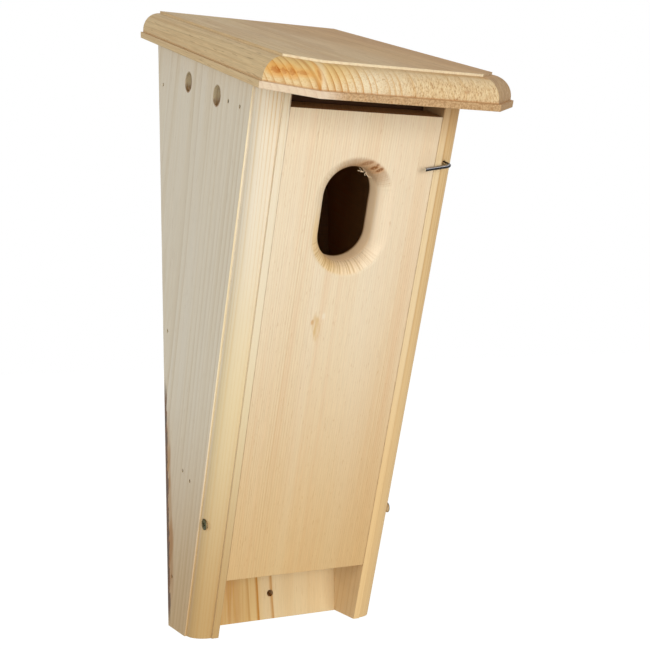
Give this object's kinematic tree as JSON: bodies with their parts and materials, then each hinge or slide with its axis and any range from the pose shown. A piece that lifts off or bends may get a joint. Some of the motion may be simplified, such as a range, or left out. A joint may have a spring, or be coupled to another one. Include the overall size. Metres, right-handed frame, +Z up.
{
  "type": "bird nest box",
  "caption": "Sloping-front pine nest box with a rounded oval entrance, a front panel that swings on two screws, a turning latch hook and a routed sloping roof.",
  "frame": {"origin": "on the back board's back face, on the middle line, midway between the two mounting holes", "axes": "+Z up along the upright back, +Y square out of the back face towards the post or wall, front towards -Y, +X to the right as seen from the front"},
  "size_m": [0.1664, 0.2359, 0.4351],
  "materials": {
    "side_board": "planed pine, untreated",
    "back_board": "planed pine, untreated",
    "inner_wood": "sawn pine, untreated",
    "roof_board": "planed and routed pine, untreated",
    "front_board": "planed straight-grained pine, untreated",
    "bronzed_screw": "dark bronze ceramic coating",
    "hook_wire": "bright drawn steel wire",
    "zinc_screw": "zinc plated",
    "nail_steel": "bright steel nails, slightly dulled"
  },
  "bodies": {
    "box": {"left_side": "side_board", "right_side": "side_board", "back_board": "back_board", "floor_board": "inner_wood", "roof_block": "inner_wood", "roof": "roof_board", "roof_screws": "zinc_screw", "left_back_nails": "nail_steel", "right_back_nails": "nail_steel", "left_floor_nails": "nail_steel", "right_floor_nails": "nail_steel", "left_block_nails": "nail_steel", "right_block_nails": "nail_steel"},
    "front_panel": {"front_panel": "front_board", "left_pivot_screw": "bronzed_screw", "right_pivot_screw": "bronzed_screw"},
    "latch_hook": {"latch_hook": "hook_wire"}
  },
  "joints": [
    {"name": "panel_swing", "type": "hinge", "parent": "box", "child": "front_panel", "pos_m": [0, -0.07145, -0.06686], "axis": [1, 0, 0], "range_deg": [0, 74]},
    {"name": "hook_turn", "type": "hinge", "parent": "box", "child": "latch_hook", "pos_m": [0.0589, -0.17206, 0.16263], "axis": [0, -0.9304, -0.3665], "continuous": true}
  ]
}
